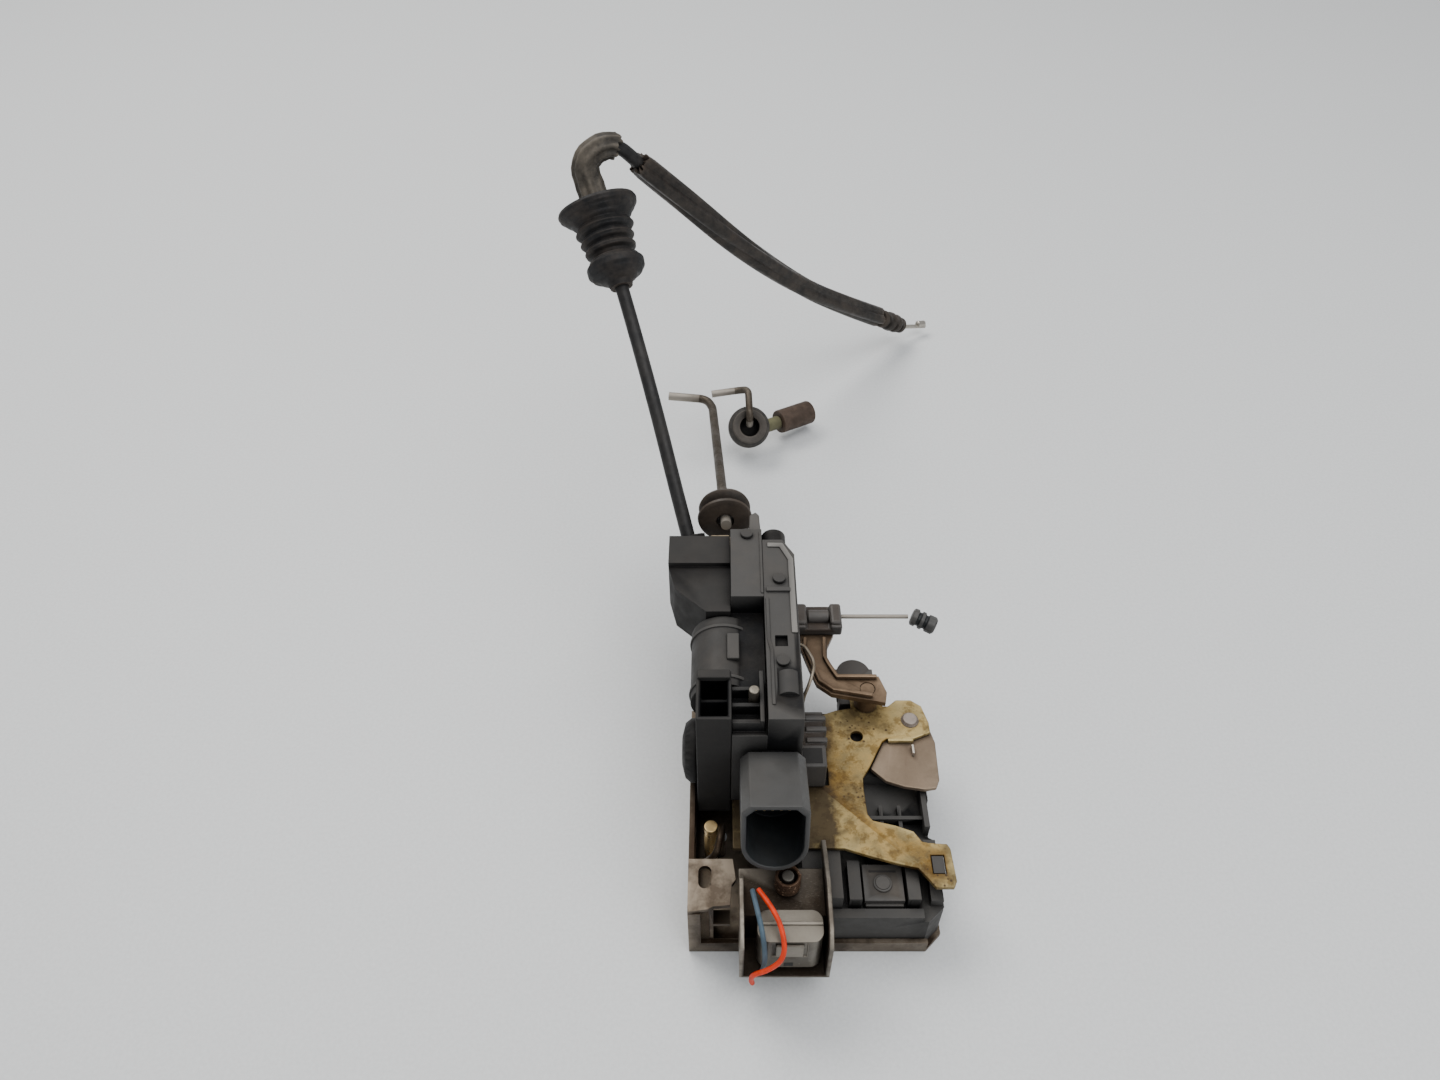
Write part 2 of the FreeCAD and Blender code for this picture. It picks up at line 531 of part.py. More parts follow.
node(revolved("bellows_body", bellows_profile, tuple(bellows_base), tuple(run)), "cable_bellows")
node(sleeve_on("bend_sleeve_tube", cable_edges[9:13], 6.2, 3.05), "bend_sleeve")
node(sleeve_on("long_sleeve_tube", cable_edges[15:], 5.4, 3.05), "long_sleeve")
tail = V(*cable_points[-1]) - V(*cable_points[-2])
tail.normalize()
fitting_base = V(*cable_points[-1])
node(rod("fitting_bar", tuple(fitting_base), tuple(tail), 4.8, 16), "cable_end_fitting")
wire_start = fitting_base + tail * 16.9
wire_end = V(88, 347, 5)
node(rod("inner_wire_bar", tuple(wire_start), tuple(wire_end - wire_start), 1.2,
         round((wire_end - wire_start).Length, 3)), "cable_inner_wire")

# ---------------------------------------------------------------- lock rod and its knob
clip_axis = (-6, 121, -40)
clip_base = V(-36.3, 108, 72)
clip_profile = [(2.28, 0), (11.5, 0), (11.5, 2), (7.5, 3), (7.5, 7), (11, 8), (11, 10), (2.28, 10)]
node(revolved("clip_body", clip_profile, tuple(clip_base), clip_axis), "rod_clip")
clip_run = V(*clip_axis)
clip_run.normalize()
rod_start = tuple(clip_base + clip_run * -6)
node(box("clip_arm_block", (-33, 90, 62), (-28, 104, 68)), "clip_arm")
rod_points = [rod_start, tuple(clip_base + clip_run * 40), (-42.6, 235, 30.5), (-46, 243, 29.5),
              (-66, 245, 30)]
node(wire_piece("lock_rod_wire", rod_points, 2.2), "lock_rod")
arm_points = [(-43, 247.4, 29.5), (-28, 249.5, 30.5), (-23.5, 246, 33.5), (-22.8, 231.5, 27.5),
              (-22.8, 232.4, 20.5)]
node(wire_piece("knob_arm_wire", arm_points, 1.9), "knob_arm")
ring_profile = [(5.4, 0), (9.5, 0), (11, 2), (11, 6), (9, 8.5), (5.4, 8.5)]
node(revolved("ring_body", ring_profile, (-23.5, 236.5, 15), (0.1, -0.7, 0.7)), "knob_ring")
knob_line = V(26, 17, -3)
knob_line.normalize()
neck_base = V(-13.9, 240.9, 12.4)
node(rod("knob_neck_bar", tuple(neck_base), tuple(knob_line), 3.6, 9), "knob_neck")
node(rod("knob_sleeve_bar", tuple(neck_base + knob_line * 9), tuple(knob_line), 6.4, 21), "knob_sleeve")

# ---------------------------------------------------------------- checks and output
doc.recompute()
for obj in doc.Objects:
    if "Invalid" in obj.State or "Error" in obj.State:
        raise RuntimeError("%s: %s" % (obj.Name, obj.State))
for obj in nodes:
    shape = obj.Shape
    if shape.isNull() or not shape.isValid() or shape.Volume <= 0:
        raise RuntimeError("bad shape: " + obj.Label)
    shape.exportStep("parts/%s.step" % obj.Label)
    print("%-22s solids %d  volume %.0f" % (obj.Label, len(shape.Solids), shape.Volume))
length = Part.Wire(cable_edges).Length
print("cable arc radii mm:", [round(r, 1) for r in cable_radii])
print("cable length mm: %.1f, sheath volume %.0f, section x length %.0f"
      % (length, sheath.Shape.Volume, math.pi * 9 * length))
print("nodes:", len(nodes))
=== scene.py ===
import json
import math
import random

import bmesh
import bpy
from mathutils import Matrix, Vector, noise


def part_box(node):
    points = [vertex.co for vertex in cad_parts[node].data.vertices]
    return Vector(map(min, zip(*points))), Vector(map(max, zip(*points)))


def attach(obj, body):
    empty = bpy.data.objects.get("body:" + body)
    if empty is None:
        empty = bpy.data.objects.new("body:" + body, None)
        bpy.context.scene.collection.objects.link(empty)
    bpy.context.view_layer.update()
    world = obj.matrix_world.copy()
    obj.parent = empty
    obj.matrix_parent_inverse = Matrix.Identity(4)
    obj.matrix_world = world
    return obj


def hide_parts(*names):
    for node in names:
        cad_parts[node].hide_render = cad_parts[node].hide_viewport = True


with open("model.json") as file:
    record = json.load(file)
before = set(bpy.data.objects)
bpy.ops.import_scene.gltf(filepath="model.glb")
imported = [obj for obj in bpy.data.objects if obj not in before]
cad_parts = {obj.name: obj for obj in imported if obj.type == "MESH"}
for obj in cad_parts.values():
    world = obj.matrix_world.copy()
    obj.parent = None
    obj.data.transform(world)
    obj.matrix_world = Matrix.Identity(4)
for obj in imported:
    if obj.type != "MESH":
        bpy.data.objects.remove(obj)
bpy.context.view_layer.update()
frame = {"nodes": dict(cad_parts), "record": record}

random.seed(7)
MM = 0.001  # one millimetre, in metres
nodes = frame["nodes"]
scene = bpy.context.scene


def mm(x, y, z):
    return Vector((x * MM, y * MM, z * MM))


# ------------------------------------------------------------------ camera
FOCAL_PX = 1082.0
IMAGE_WIDTH = 1440.0
SENSOR = 36.0
CAMERA_AT = mm(-38.6, -217, 390)
PITCH_DOWN = 45.5

camera_data = bpy.data.cameras.new("camera")
camera_data.sensor_width = SENSOR
camera_data.lens = SENSOR * FOCAL_PX / IMAGE_WIDTH
camera_data.clip_start = 0.01
camera = bpy.data.objects.new("camera", camera_data)
camera.location = CAMERA_AT
camera.rotation_euler = (math.radians(90 - PITCH_DOWN), 0, 0)
scene.collection.objects.link(camera)
scene.camera = camera


# ------------------------------------------------------------------ materials
class Paint:
    """A node material built in small steps."""

    def __init__(self, name):
        self.material = bpy.data.materials.new(name)
        self.material.use_nodes = True
        self.tree = self.material.node_tree
        self.shader = self.tree.nodes["Principled BSDF"]
        coords = self.tree.nodes.new("ShaderNodeTexCoord")
        self.place = coords.outputs["Object"]
        self.geometry = self.tree.nodes.new("ShaderNodeNewGeometry")

    def plug(self, value, socket):
        if isinstance(value, bpy.types.NodeSocket):
            self.tree.links.new(value, socket)
        else:
            socket.default_value = value

    def stretched(self, scale, turn=(0, 0, 0)):
        node = self.tree.nodes.new("ShaderNodeMapping")
        node.inputs["Scale"].default_value = scale
        node.inputs["Rotation"].default_value = turn
        self.tree.links.new(self.place, node.inputs["Vector"])
        return node.outputs["Vector"]

    def noise(self, scale, detail=4.0, rough=0.55, where=None):
        node = self.tree.nodes.new("ShaderNodeTexNoise")
        node.inputs["Scale"].default_value = scale
        node.inputs["Detail"].default_value = detail
        node.inputs["Roughness"].default_value = rough
        self.tree.links.new(where or self.place, node.inputs["Vector"])
        return node.outputs["Fac"]

    def cells(self, scale):
        node = self.tree.nodes.new("ShaderNodeTexVoronoi")
        node.inputs["Scale"].default_value = scale
        self.tree.links.new(self.place, node.inputs["Vector"])
        return node.outputs["Distance"]

    def ramp(self, value, low, high, a=0.0, b=1.0):
        """value mapped from low..high to a..b, and held there outside."""
        node = self.tree.nodes.new("ShaderNodeMapRange")
        node.clamp = True
        self.plug(value, node.inputs["Value"])
        for key, number in (("From Min", low), ("From Max", high), ("To Min", a), ("To Max", b)):
            node.inputs[key].default_value = number
        return node.outputs["Result"]

    def math(self, kind, a, b=0.0):
        node = self.tree.nodes.new("ShaderNodeMath")
        node.operation = kind
        self.plug(a, node.inputs[0])
        self.plug(b, node.inputs[1])
        return node.outputs[0]

    def mix(self, factor, a, b):
        node = self.tree.nodes.new("ShaderNodeMix")
        node.data_type = "RGBA"
        self.plug(factor, node.inputs[0])
        for value, socket in ((a, node.inputs[6]), (b, node.inputs[7])):
            self.plug(value if isinstance(value, bpy.types.NodeSocket) else (*value, 1), socket)
        return node.outputs[2]

    def part_of(self, vector, letter):
        split = self.tree.nodes.new("ShaderNodeSeparateXYZ")
        self.tree.links.new(vector, split.inputs[0])
        return split.outputs[letter]

    def facing_up(self):
        """1 where the surface faces up, 0 on walls and undersides."""
        return self.ramp(self.part_of(self.geometry.outputs["Normal"], "Z"), 0.1, 0.9)

    def along_x(self, low, high):
        """0 at x = low, 1 at x = high, in metres."""
        return self.ramp(self.part_of(self.place, "X"), low, high)

    def edges(self, low=0.515, high=0.56):
        """1 on outward edges, 0 on open faces."""
        return self.ramp(self.geometry.outputs["Pointiness"], low, high)

    def painted_corner_shade(self, reach=0.006):
        """Painted shade from ambient occlusion: 1 in tight corners, 0 on open faces."""
        node = self.tree.nodes.new("ShaderNodeAmbientOcclusion")
        node.samples = 4
        node.inputs["Distance"].default_value = reach
        return self.ramp(node.outputs["AO"], 0.35, 0.85, 1.0, 0.0)

    def bump(self, height, strength, distance):
        node = self.tree.nodes.new("ShaderNodeBump")
        node.inputs["Strength"].default_value = strength
        node.inputs["Distance"].default_value = distance
        self.plug(height, node.inputs["Height"])
        self.tree.links.new(node.outputs["Normal"], self.shader.inputs["Normal"])

    def finish(self, color, rough, metallic=0.0, level=0.5):
        self.plug(color, self.shader.inputs["Base Color"])
        self.plug(rough, self.shader.inputs["Roughness"])
        self.shader.inputs["Metallic"].default_value = metallic
        self.shader.inputs["Specular IOR Level"].default_value = level
        return self.material


# colour of the painted shade in the corners of metal parts
CORNER_SHADE_TONE = (0.018, 0.012, 0.008)
PIT = (0.07, 0.045, 0.025)
GREASE = (0.030, 0.019, 0.011)


def shade(color, factor):
    return [c * factor for c in color]


def plastic(name, base, dust=0.14, rough=0.5, bump=0.25, worn=(0.075, 0.072, 0.068),
            dust_tone=(0.13, 0.105, 0.08), level=0.35):
    """Moulded plastic with a fine grain, pale rubbed edges, dust on what faces up and painted shade in its
    corners.
    """
    p = Paint(name)
    cloud = p.noise(90, 5)
    grain = p.noise(2600, 2)
    tone = p.mix(p.ramp(cloud, 0.35, 0.7), shade(base, 0.72), shade(base, 1.35))
    streaks = p.noise(700, 3, 0.7, p.stretched((1, 9, 3), (0.3, 0.2, 0.6)))
    tone = p.mix(p.math("MULTIPLY", p.ramp(streaks, 0.60, 0.72), 0.35), tone, worn)
    tone = p.mix(p.math("MULTIPLY", p.edges(), 0.75), tone, worn)
    patches = p.ramp(p.noise(55, 6, 0.65), 0.44, 0.72)
    amount = p.math("MULTIPLY", p.math("MULTIPLY", patches, p.facing_up()), dust)
    tone = p.mix(amount, tone, dust_tone)
    # painted shade: tight corners darkened towards a darker copy of the base colour
    tone = p.mix(p.math("MULTIPLY", p.painted_corner_shade(), 0.85), tone, shade(base, 0.35))
    shine = p.ramp(p.noise(160, 4), 0.3, 0.7, rough - 0.1, rough + 0.16)
    p.bump(p.math("ADD", grain, p.math("MULTIPLY", p.noise(420, 4), 1.4)), bump, 0.00012)
    return p.finish(tone, shine, 0.0, level)


def metal(name, base, stain, bare, rough=0.42, metallic=0.85, stain_scale=70, grease=0.0,
          specks=0.0, dark_side=None, contrast=0.13):
    """Plated sheet metal: stains, bare edges, scratches, small pits and painted shade in its corners.

    The (low, high, color) argument makes the surface darker below x = low, fading out towards x = high, in
    metres."""
    p = Paint(name)
    cloud = p.noise(stain_scale, 7, 0.65)
    fine = p.noise(520, 5, 0.6)
    tone = p.mix(p.ramp(cloud, 0.52 - contrast, 0.52 + contrast), base, stain)
    tone = p.mix(p.ramp(fine, 0.52, 0.78, 0, 0.55), tone, shade(stain, 0.55))
    lines = p.ramp(p.noise(900, 2, 0.5, p.stretched((1, 14, 1), (0, 0, 0.5))), 0.64, 0.70)
    tone = p.mix(p.math("MULTIPLY", lines, 0.5), tone, bare)
    tone = p.mix(p.math("MULTIPLY", p.edges(), 0.9), tone, bare)
    if specks:
        blotch = p.ramp(p.noise(210, 6, 0.7), 0.50, 0.60, 0, 0.55)
        tone = p.mix(blotch, tone, [(a + b) / 2.6 for a, b in zip(base, stain)])
        dots = p.ramp(p.cells(420), 0.12, 0.26, 1, 0)
        held = p.ramp(p.noise(40, 3), 0.44, 0.58)
        tone = p.mix(p.math("MULTIPLY", p.math("MULTIPLY", dots, held), specks), tone, PIT)
    if grease:
        film = p.ramp(p.noise(38, 5, 0.7), 0.47, 0.60, 0, grease)
        tone = p.mix(film, tone, GREASE)
    # darker towards low x, blending to the given colour
    if dark_side:
        low, high, dark_side_tone = dark_side
        wander = p.ramp(p.noise(120, 5), 0.3, 0.7, -0.5, 0.5)
        side = p.math("ADD", p.along_x(low, high), wander)
        tone = p.mix(p.ramp(side, 0.25, 0.75, 0.9, 0.0), tone, dark_side_tone)
    # painted shade: tight corners darkened to a dark brown
    tone = p.mix(p.math("MULTIPLY", p.painted_corner_shade(), 0.8), tone, CORNER_SHADE_TONE)
    shine = p.ramp(p.noise(130, 5), 0.3, 0.7, rough - 0.12, rough + 0.18)
    p.bump(p.math("ADD", fine, p.math("MULTIPLY", cloud, 1.5)), 0.28, 0.0002)
    return p.finish(tone, shine, metallic, 0.15)


def soft(name, base, streak, scale=(1, 1, 1), rough=0.7, amount=0.5, bump=0.5):
    """Rubber or foam with grime in broad patches, painted shade in its corners and a matt skin."""
    p = Paint(name)
    cloud = p.ramp(p.noise(75, 7, 0.7, p.stretched(scale)), 0.42, 0.68, 0, amount)
    tone = p.mix(p.ramp(p.noise(300, 4), 0.3, 0.7), shade(base, 0.7), shade(base, 1.4))
    tone = p.mix(cloud, tone, streak)
    tone = p.mix(p.math("MULTIPLY", p.edges(0.52, 0.6), 0.4), tone, shade(streak, 1.4))
    # painted shade: tight corners darkened towards a darker copy of the base colour
    tone = p.mix(p.math("MULTIPLY", p.painted_corner_shade(0.004), 0.6), tone, shade(base, 0.4))
    shine = p.ramp(p.noise(220, 4), 0.3, 0.7, rough - 0.12, rough + 0.12)
    p.bump(p.math("ADD", p.noise(1500, 3), p.math("MULTIPLY", p.noise(260, 5), 1.5)), bump, 0.00025)
    return p.finish(tone, shine, 0.0, 0.22)


black = plastic("black_plastic", (0.0075, 0.0075, 0.008), dust=0.13, rough=0.55, level=0.12)
worn_black = plastic("worn_plastic", (0.020, 0.019, 0.018), dust=0.5, rough=0.55,
                     worn=(0.20, 0.19, 0.175), dust_tone=(0.16, 0.15, 0.135))
box_black = plastic("box_plastic", (0.0055, 0.0055, 0.006), dust=0.07, rough=0.55, level=0.08,
                    worn=(0.04, 0.038, 0.036))
connector_grey = plastic("connector_plastic", (0.019, 0.0215, 0.023), dust=0.08, rough=0.40, bump=0.12,
                         level=0.24)
housing_black = plastic("housing_plastic", (0.006, 0.006, 0.0064), dust=0.16, rough=0.55, level=0.10)
buffer_grey = plastic("buffer_plastic", (0.040, 0.034, 0.028), dust=0.35, rough=0.6, level=0.3)
clip_brown = plastic("clip_plastic", (0.024, 0.016, 0.011), dust=0.3, rough=0.45,
                     dust_tone=(0.09, 0.062, 0.042), level=0.3)
case_steel = metal("case_steel", (0.044, 0.029, 0.018), (0.018, 0.010, 0.006), (0.26, 0.215, 0.165),
                   rough=0.44, metallic=0.65, grease=0.7)
bracket_steel = metal("bracket_steel", (0.044, 0.034, 0.025), (0.020, 0.014, 0.009), (0.27, 0.24, 0.20),
                      rough=0.42, metallic=0.65, grease=0.6)
lever_steel = metal("lever_steel", (0.050, 0.029, 0.016), (0.022, 0.012, 0.006), (0.25, 0.175, 0.115),
                    rough=0.40, metallic=0.65, grease=0.4)
sector_steel = metal("sector_steel", (0.068, 0.042, 0.026), (0.030, 0.017, 0.010), (0.28, 0.215, 0.155),
                     rough=0.46, metallic=0.65, grease=0.25)
chromate = metal("yellow_chromate", (0.205, 0.100, 0.007), (0.034, 0.015, 0.003), (0.52, 0.41, 0.19),
                 rough=0.44, metallic=0.4, stain_scale=60, specks=1.0, grease=0.6,
                 dark_side=(0.000, 0.009, (0.042, 0.029, 0.018)), contrast=0.07)
rivet_metal = metal("rivet_metal", (0.200, 0.160, 0.135), (0.120, 0.090, 0.070), (0.50, 0.45, 0.40),
                    rough=0.5, metallic=0.5)
zinc = metal("rod_zinc", (0.090, 0.076, 0.060), (0.045, 0.034, 0.024), (0.32, 0.29, 0.25), rough=0.5,
             metallic=0.6)
wire_steel = metal("wire_steel", (0.120, 0.105, 0.088), (0.055, 0.045, 0.036), (0.46, 0.43, 0.38),
                   rough=0.36, metallic=0.8)
spring_steel = metal("spring_steel", (0.340, 0.290, 0.225), (0.170, 0.135, 0.095), (0.55, 0.50, 0.43),
                     rough=0.4, metallic=0.7)
can_steel = metal("can_steel", (0.050, 0.042, 0.031), (0.026, 0.020, 0.014), (0.26, 0.235, 0.195),
                  rough=0.40, metallic=0.65, grease=0.2)
rusty_spring = metal("rusty_spring", (0.060, 0.032, 0.018), (0.028, 0.015, 0.009), (0.22, 0.14, 0.09),
                     rough=0.5, metallic=0.5)
dark_metal = metal("latch_steel", (0.045, 0.037, 0.030), (0.024, 0.018, 0.013), (0.30, 0.27, 0.23),
                   rough=0.38, grease=0.6)
screw_dark = metal("screw_dark", (0.030, 0.027, 0.024), (0.018, 0.015, 0.012), (0.16, 0.15, 0.13),
                   rough=0.5, metallic=0.5)
brass = metal("brass", (0.66, 0.36, 0.10), (0.35, 0.17, 0.05), (0.9, 0.7, 0.36), rough=0.3)
rubber = soft("bellows_rubber", (0.012, 0.012, 0.0125), (0.062, 0.045, 0.033), rough=0.6, amount=0.5)
sleeve_rubber = soft("bend_sleeve_rubber", (0.040, 0.035, 0.029), (0.16, 0.135, 0.105), rough=0.6,
                     amount=0.6)
long_rubber = soft("long_sleeve_rubber", (0.016, 0.0135, 0.0115), (0.075, 0.056, 0.042), rough=0.45,
                   amount=0.45, bump=0.35)
sheath_black = soft("sheath_skin", (0.012, 0.012, 0.0125), (0.050, 0.043, 0.036), rough=0.45,
                    amount=0.35, bump=0.2)
knob_rubber = soft("knob_rubber", (0.026, 0.024, 0.022), (0.085, 0.072, 0.06), rough=0.6, amount=0.45)
knob_brown = soft("knob_brown", (0.042, 0.028, 0.020), (0.085, 0.058, 0.042), rough=0.55, amount=0.5)
neck_green = soft("neck_green", (0.12, 0.115, 0.06), (0.05, 0.042, 0.028), rough=0.5, amount=0.6)
foam = soft("felt_foam", (0.27, 0.215, 0.145), (0.10, 0.075, 0.048), rough=0.9, amount=0.6, bump=0.9)
red_skin = soft("red_insulation", (0.68, 0.040, 0.005), (0.30, 0.022, 0.012), rough=0.42, amount=0.35,
                bump=0.15)
blue_skin = soft("blue_insulation", (0.062, 0.098, 0.128), (0.040, 0.052, 0.062), rough=0.45,
                 amount=0.35, bump=0.15)


# ------------------------------------------------------------------ shape helpers
def add_object(name, mesh, material):
    obj = bpy.data.objects.new(name, mesh)
    scene.collection.objects.link(obj)
    mesh.materials.clear()
    mesh.materials.append(material)
    return obj


def smooth(mesh):
    mesh.polygons.foreach_set("use_smooth", [True] * len(mesh.polygons))


def mesh_from(work, name):
    """The bmesh written to a new mesh, and freed."""
    mesh = bpy.data.meshes.new(name)
    work.to_mesh(mesh)
    work.free()
    return mesh


def piece(name, mesh, material, body, replaces=()):
    obj = add_object(name, mesh, material)
    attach(obj, body)
    if replaces:
        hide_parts(*replaces)
    return obj


body_of_node = {node: body for body, members in frame["record"]["behaviour"]["bodies"].items()
                for node in members}
FLAT_ANGLE = math.radians(1.0)
EDGE_ANGLE = math.radians(40)


def skin(node, material, width):
    """The node's own solid with its sharp edges broken, in place of the node."""
    mesh = nodes[node].data.copy()
    mesh.name = node + "_skin"
    work = bmesh.new()
    work.from_mesh(mesh)
    bmesh.ops.remove_doubles(work, verts=work.verts, dist=1e-6)
    bmesh.ops.dissolve_limit(work, angle_limit=FLAT_ANGLE, verts=work.verts, edges=work.edges)
    work.to_mesh(mesh)
    work.free()
    obj = piece(node + "_skin", mesh, material, body_of_node[node], [node])
    smooth(mesh)
    bevel = obj.modifiers.new("edge_break", "BEVEL")
    bevel.width = width * MM
    bevel.segments = 2
    bevel.limit_method = "ANGLE"
    bevel.angle_limit = EDGE_ANGLE
    bevel.use_clamp_overlap = True
    even = obj.modifiers.new("even_faces", "WEIGHTED_NORMAL")
    even.mode = "FACE_AREA"
    even.weight = 100
    even.keep_sharp = True
    return obj


def dress(node, material):
    """The material on the node as it is."""
    mesh = nodes[node].data
    mesh.materials.clear()
    mesh.materials.append(material)


def slab(name, low, high, material, body="case", bevel=0.4):
    """A moulded block with softened edges, given by its corners in mm."""
    work = bmesh.new()
    bmesh.ops.create_cube(work, size=1.0)
    low = mm(*low)
    high = mm(*high)
    for vert in work.verts:
        vert.co = Vector([(a + b) / 2 + c * (b - a) for a, b, c in zip(low, high, vert.co)])
    bmesh.ops.bevel(work, geom=work.edges[:], offset=bevel * MM, segments=3, affect="EDGES", profile=0.6)
    return piece(name, mesh_from(work, name), material, body)


TURNED_SHARP = math.radians(38)


def rings_to_faces(work, rings, sides):
    for a, b in zip(rings, rings[1:]):
        for i in range(sides):
            work.faces.new((a[i], a[(i + 1) % sides], b[(i + 1) % sides], b[i]))


def turned(name, profile, base, axis, material, body="case", sides=48, replaces=(),
           lobes=0, lobe_depth=0.0):
    """A turned piece: profile rows are (radius, height) in mm. It is capped unless the profile closes."""
    up = Vector(axis).normalized()
    side = up.orthogonal().normalized()
    other = up.cross(side)
    base = mm(*base)
    work = bmesh.new()
    rings = []
    for radius, height in profile:
        ring = []
        for i in range(sides):
            angle = 2 * math.pi * i / sides
            r = radius * (1 + lobe_depth * math.cos(lobes * angle)) * MM
            spoke = side * math.cos(angle) + other * math.sin(angle)
            ring.append(work.verts.new(base + up * height * MM + spoke * r))
        rings.append(ring)
    rings_to_faces(work, rings, sides)
    if profile[0] == profile[-1]:
        bmesh.ops.remove_doubles(work, verts=work.verts, dist=1e-8)
    else:
        work.faces.new(list(reversed(rings[0])))
        work.faces.new(rings[-1])
    bmesh.ops.recalc_face_normals(work, faces=work.faces[:])
    mesh = mesh_from(work, name)
    obj = piece(name, mesh, material, body, replaces)
    smooth(mesh)
    mesh.set_sharp_from_angle(angle=TURNED_SHARP)
    return obj


BEAD_SHARP = math.radians(60)
TIGHTEST_MITRE = 0.5


def bead(name, path, width, low, high, material, body="case", bevel=0.35):
    """A raised strip along a path of (x, y) corners in mm, between two heights."""
    work = bmesh.new()
    path = [Vector(p) for p in path]
    sides = [[], []]
    for i, point in enumerate(path):
        before = (point - path[i - 1]).normalized() if i else (path[1] - point).normalized()
        after = (path[i + 1] - point).normalized() if i + 1 < len(path) else before
        across = (before + after).normalized()
        across = Vector((-across.y, across.x))
        reach = width / 2 / max(TIGHTEST_MITRE, across.dot(Vector((-before.y, before.x))))
        sides[0].append(point + across * reach)
        sides[1].append(point - across * reach)
    rows = []
    for flank in sides:
        rows.append([work.verts.new(mm(p.x, p.y, low)) for p in flank])
        rows.append([work.verts.new(mm(p.x, p.y, high)) for p in flank])
    left_low, left_high, right_low, right_high = rows
    loop = [left_low, left_high, right_high, right_low]
    for a, b in zip(loop, loop[1:] + loop[:1]):
        for i in range(len(path) - 1):
            work.faces.new((a[i], a[i + 1], b[i + 1], b[i]))
    work.faces.new([row[0] for row in loop])
    work.faces.new([row[-1] for row in reversed(loop)])
    bmesh.ops.recalc_face_normals(work, faces=work.faces[:])
    sharp = [e for e in work.edges if e.calc_face_angle(0) > BEAD_SHARP]
    bmesh.ops.bevel(work, geom=sharp, offset=bevel * MM, segments=2, affect="EDGES", profile=0.5)
    return piece(name, mesh_from(work, name), material, body)


def spline_curve(name, points, material, thickness):
    """An open NURBS line through mm control points, with a round section."""
    data = bpy.data.curves.new(name, "CURVE")
    data.dimensions = "3D"
    data.resolution_u = 16
    spline = data.splines.new("NURBS")
    spline.points.add(len(points) - 1)
    for point, target in zip(spline.points, points):
        point.co = (*mm(*target), 1)
    spline.order_u = 3
    spline.use_endpoint_u = True
    data.bevel_depth = thickness / 2 * MM
    data.bevel_resolution = 6
    data.use_fill_caps = True
    data.materials.append(material)
    obj = bpy.data.objects.new(name, data)
    scene.collection.objects.link(obj)
    return obj


def read_line(curve):
    """The points of a curve's own line, in order."""
    data = curve.data.copy()
    data.bevel_depth = 0
    data.use_fill_caps = False
    bare = bpy.data.objects.new("line", data)
    mesh = bpy.data.meshes.new_from_object(bare)
    points = [v.co.copy() for v in mesh.vertices]
    bpy.data.meshes.remove(mesh)
    bpy.data.objects.remove(bare)
    bpy.data.curves.remove(data)
    return points


class Line:
    """A polyline measured by length, with frames that don't twist."""

    def __init__(self, points):
        self.points = points
        self.marks = [0.0]
        for a, b in zip(points, points[1:]):
            self.marks.append(self.marks[-1] + (b - a).length)
        tangents = []
        for i in range(len(points)):
            a = points[max(i - 1, 0)]
            b = points[min(i + 1, len(points) - 1)]
            tangents.append((b - a).normalized())
        side = tangents[0].orthogonal().normalized()
        self.frames = []
        for tangent in tangents:
            side = (side - tangent * side.dot(tangent)).normalized()
            self.frames.append((tangent, side, tangent.cross(side)))

    def length(self):
        return self.marks[-1]

    def nearest(self, point):
        """The length along the line at its point nearest to a place."""
        best = min(range(len(self.points)), key=lambda i: (self.points[i] - point).length)
        return self.marks[best]

    def at(self, mark):
        """The point at a length along the line, and the two directions across it."""
        mark = min(max(mark, 0.0), self.marks[-1])
        for i in range(len(self.marks) - 1):
            if self.marks[i + 1] >= mark:
                break
        span = self.marks[i + 1] - self.marks[i]
        t = (mark - self.marks[i]) / span if span else 0
        point = self.points[i].lerp(self.points[i + 1], t)
        tangent = self.frames[i][0].lerp(self.frames[i + 1][0], t).normalized()
        side = self.frames[i][1].lerp(self.frames[i + 1][1], t)
        side = (side - tangent * side.dot(tangent)).normalized()
        return point, side, tangent.cross(side)


SLEEVE_BORE = 3.15
SLEEVE_SHARP = math.radians(50)


def torn(sides, depth):
    """How far each point of a torn edge stands back, in mm."""
    teeth = [random.uniform(0, depth) for _ in range(sides // 3 + 1)]
    return [teeth[i // 3] + random.uniform(0, depth * 0.25) for i in range(sides)]


def along(name, line, start, stop, steps, radius, material, sides, replaces, tear=(0, 0)):
    """A rubber tube along the line, radius(t, angle) in mm, with a bore and torn ends."""
    work = bmesh.new()
    rings = []
    first, last = torn(sides, tear[0]), torn(sides, tear[1])

    def ring_at(k, reach):
        t = k / steps
        ring = []
        for i in range(sides):
            mark = start + (stop - start) * t
            if k == 0:
                mark += first[i] * MM
            if k == steps:
                mark -= last[i] * MM
            point, side, other = line.at(mark)
            angle = 2 * math.pi * i / sides
            spoke = side * math.cos(angle) + other * math.sin(angle)
            ring.append(work.verts.new(point + spoke * reach(t, angle) * MM))
        rings.append(ring)

    for k in range(steps + 1):
        ring_at(k, radius)
    for k in range(steps, -1, -1):
        ring_at(k, lambda t, angle: SLEEVE_BORE)
    rings_to_faces(work, rings + rings[:1], sides)
    bmesh.ops.recalc_face_normals(work, faces=work.faces[:])
    mesh = mesh_from(work, name)
    obj = piece(name, mesh, material, "case", replaces)
    smooth(mesh)
    mesh.set_sharp_from_angle(angle=SLEEVE_SHARP)
    return obj


